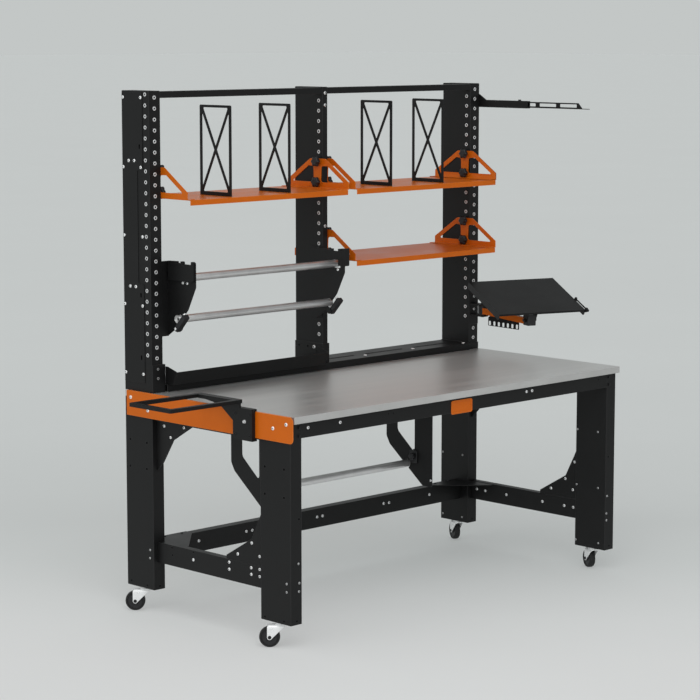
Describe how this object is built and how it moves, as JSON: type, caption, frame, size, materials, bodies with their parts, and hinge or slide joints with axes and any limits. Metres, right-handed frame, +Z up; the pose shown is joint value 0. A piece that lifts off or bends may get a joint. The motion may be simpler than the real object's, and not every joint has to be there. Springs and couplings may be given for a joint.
{
  "type": "assembly table",
  "caption": "Wheeled assembly table with a steel-faced worktop, perforated uprights, divided shelves, roll holders, a bag ring, a tilting tray and a telescopic boom.",
  "frame": {"origin": "middle of the bounding box on the floor under the casters", "axes": "+X along the table's length, to the right of someone standing in front of it; +Y to the rear; +Z up"},
  "size_m": [2.426, 0.97, 1.9498],
  "materials": {
    "steel_faced_board": "board core faced and edged with brushed sheet steel",
    "black_powder_coat": "black powder coat on folded sheet steel",
    "orange_powder_coat": "orange powder coat on sheet steel",
    "zinc_plate": "zinc plated",
    "wheel_rubber": "dark rubber",
    "black_plastic": "moulded black plastic"
  },
  "bodies": {
    "bench": {"worktop": "steel_faced_board", "leg_front_left": "black_powder_coat", "leg_front_right": "black_powder_coat", "leg_rear_left": "black_powder_coat", "leg_rear_right": "black_powder_coat", "apron_front": "black_powder_coat", "apron_rear": "black_powder_coat", "top_beam_left": "black_powder_coat", "top_beam_right": "black_powder_coat", "low_beam_left": "black_powder_coat", "low_beam_right": "black_powder_coat", "low_beam_rear": "black_powder_coat", "gusset_low_left": "black_powder_coat", "gusset_low_right": "black_powder_coat", "gusset_top_left": "black_powder_coat", "gusset_top_right": "black_powder_coat", "upright_left": "black_powder_coat", "upright_middle": "black_powder_coat", "upright_right": "black_powder_coat", "top_rail_left": "black_powder_coat", "top_rail_right": "black_powder_coat", "base_channel": "black_powder_coat", "parts_trough": "black_powder_coat", "roll_bracket_left": "black_powder_coat", "roll_bracket_right": "black_powder_coat", "under_arm_left": "black_powder_coat", "under_arm_right": "black_powder_coat", "tray_bracket": "black_powder_coat", "boom_sleeve": "black_powder_coat", "side_rail": "orange_powder_coat", "shelf_left": "orange_powder_coat", "shelf_right_upper": "orange_powder_coat", "shelf_right_lower": "orange_powder_coat", "bracket_left_a": "orange_powder_coat", "bracket_left_b": "orange_powder_coat", "bracket_right_upper_a": "orange_powder_coat", "bracket_right_upper_b": "orange_powder_coat", "bracket_right_lower_a": "orange_powder_coat", "bracket_right_lower_b": "orange_powder_coat"},
    "divider_1": {"divider_1": "black_powder_coat"},
    "divider_2": {"divider_2": "black_powder_coat"},
    "divider_3": {"divider_3": "black_powder_coat"},
    "divider_4": {"divider_4": "black_powder_coat"},
    "bag_holder": {"bag_holder": "black_powder_coat"},
    "tilt_tray": {"tilt_tray": "black_powder_coat"},
    "boom_bar": {"boom_bar": "black_powder_coat"},
    "tray_arm": {"tray_arm": "orange_powder_coat"},
    "caster_fork_front_left": {"caster_fork_front_left": "zinc_plate"},
    "caster_fork_front_right": {"caster_fork_front_right": "zinc_plate"},
    "caster_fork_rear_left": {"caster_fork_rear_left": "zinc_plate"},
    "caster_fork_rear_right": {"caster_fork_rear_right": "zinc_plate"},
    "roll_tube_upper": {"roll_tube_upper": "zinc_plate"},
    "roll_tube_lower": {"roll_tube_lower": "zinc_plate"},
    "under_tube": {"under_tube": "zinc_plate"},
    "caster_wheel_front_left": {"caster_wheel_front_left": "wheel_rubber"},
    "caster_wheel_front_right": {"caster_wheel_front_right": "wheel_rubber"},
    "caster_wheel_rear_left": {"caster_wheel_rear_left": "wheel_rubber"},
    "caster_wheel_rear_right": {"caster_wheel_rear_right": "wheel_rubber"},
    "tube_clip_left": {"tube_clip_left": "black_plastic"},
    "tube_clip_right": {"tube_clip_right": "black_plastic"}
  },
  "joints": [
    {"name": "caster_swivel_front_left", "type": "hinge", "parent": "bench", "child": "caster_fork_front_left", "pos_m": [-0.84025, -0.3828, 0.08376], "axis": [0, 0, 1], "continuous": true},
    {"name": "caster_roll_front_left", "type": "hinge", "parent": "caster_fork_front_left", "child": "caster_wheel_front_left", "pos_m": [-0.87058, -0.35374, 0.03726], "axis": [-0.6919, -0.7219, 0], "continuous": true},
    {"name": "caster_swivel_front_right", "type": "hinge", "parent": "bench", "child": "caster_fork_front_right", "pos_m": [0.88855, -0.3828, 0.08376], "axis": [0, 0, 1], "continuous": true},
    {"name": "caster_roll_front_right", "type": "hinge", "parent": "caster_fork_front_right", "child": "caster_wheel_front_right", "pos_m": [0.90619, -0.34469, 0.03726], "axis": [-0.9075, 0.42, 0], "continuous": true},
    {"name": "caster_swivel_rear_left", "type": "hinge", "parent": "bench", "child": "caster_fork_rear_left", "pos_m": [-0.84025, 0.366, 0.08376], "axis": [0, 0, 1], "continuous": true},
    {"name": "caster_roll_rear_left", "type": "hinge", "parent": "caster_fork_rear_left", "child": "caster_wheel_rear_left", "pos_m": [-0.87058, 0.39506, 0.03726], "axis": [-0.6919, -0.7219, 0], "continuous": true},
    {"name": "caster_swivel_rear_right", "type": "hinge", "parent": "bench", "child": "caster_fork_rear_right", "pos_m": [0.88855, 0.366, 0.08376], "axis": [0, 0, 1], "continuous": true},
    {"name": "caster_roll_rear_right", "type": "hinge", "parent": "caster_fork_rear_right", "child": "caster_wheel_rear_right", "pos_m": [0.90619, 0.40412, 0.03726], "axis": [-0.9075, 0.42, 0], "continuous": true},
    {"name": "upper_roll_spin", "type": "hinge", "parent": "bench", "child": "roll_tube_upper", "pos_m": [-0.40701, 0.19, 1.26976], "axis": [1, 0, 0], "continuous": true},
    {"name": "lower_roll_spin", "type": "hinge", "parent": "bench", "child": "roll_tube_lower", "pos_m": [-0.40701, 0.218, 1.11576], "axis": [1, 0, 0], "continuous": true},
    {"name": "under_roll_spin", "type": "hinge", "parent": "bench", "child": "under_tube", "pos_m": [-0.384, -0.174, 0.52376], "axis": [1, 0, 0], "continuous": true},
    {"name": "tube_clip_left_open", "type": "hinge", "parent": "bench", "child": "tube_clip_left", "pos_m": [-0.797, 0.21863, 1.08065], "axis": [1, 0, 0], "range_deg": [0, 75]},
    {"name": "tube_clip_right_open", "type": "hinge", "parent": "bench", "child": "tube_clip_right", "pos_m": [-0.007, 0.21863, 1.08065], "axis": [1, 0, 0], "range_deg": [0, 75]},
    {"name": "divider_1_slide", "type": "slide", "parent": "bench", "child": "divider_1", "axis": [1, 0, 0], "range_m": [-0.18, 0.13]},
    {"name": "divider_2_slide", "type": "slide", "parent": "bench", "child": "divider_2", "axis": [1, 0, 0], "range_m": [-0.13, 0.23]},
    {"name": "divider_3_slide", "type": "slide", "parent": "bench", "child": "divider_3", "axis": [1, 0, 0], "range_m": [-0.19, 0.14]},
    {"name": "divider_4_slide", "type": "slide", "parent": "bench", "child": "divider_4", "axis": [1, 0, 0], "range_m": [-0.145, 0.23]},
    {"name": "bag_holder_slide", "type": "slide", "parent": "bench", "child": "bag_holder", "axis": [0, 1, 0], "range_m": [-0.08, 0.35]},
    {"name": "tray_arm_swing", "type": "hinge", "parent": "bench", "child": "tray_arm", "pos_m": [0.88799, 0.235, 0.98976], "axis": [0, 0, 1], "range_deg": [-10, 50]},
    {"name": "tray_tilt", "type": "hinge", "parent": "tray_arm", "child": "tilt_tray", "pos_m": [0.923, 0.005, 0.98376], "axis": [0.9397, -0.342, 0], "range_deg": [-6, 20]},
    {"name": "boom_extend", "type": "slide", "parent": "bench", "child": "boom_bar", "axis": [0, -1, 0], "range_m": [-0.22, 0.03]}
  ]
}
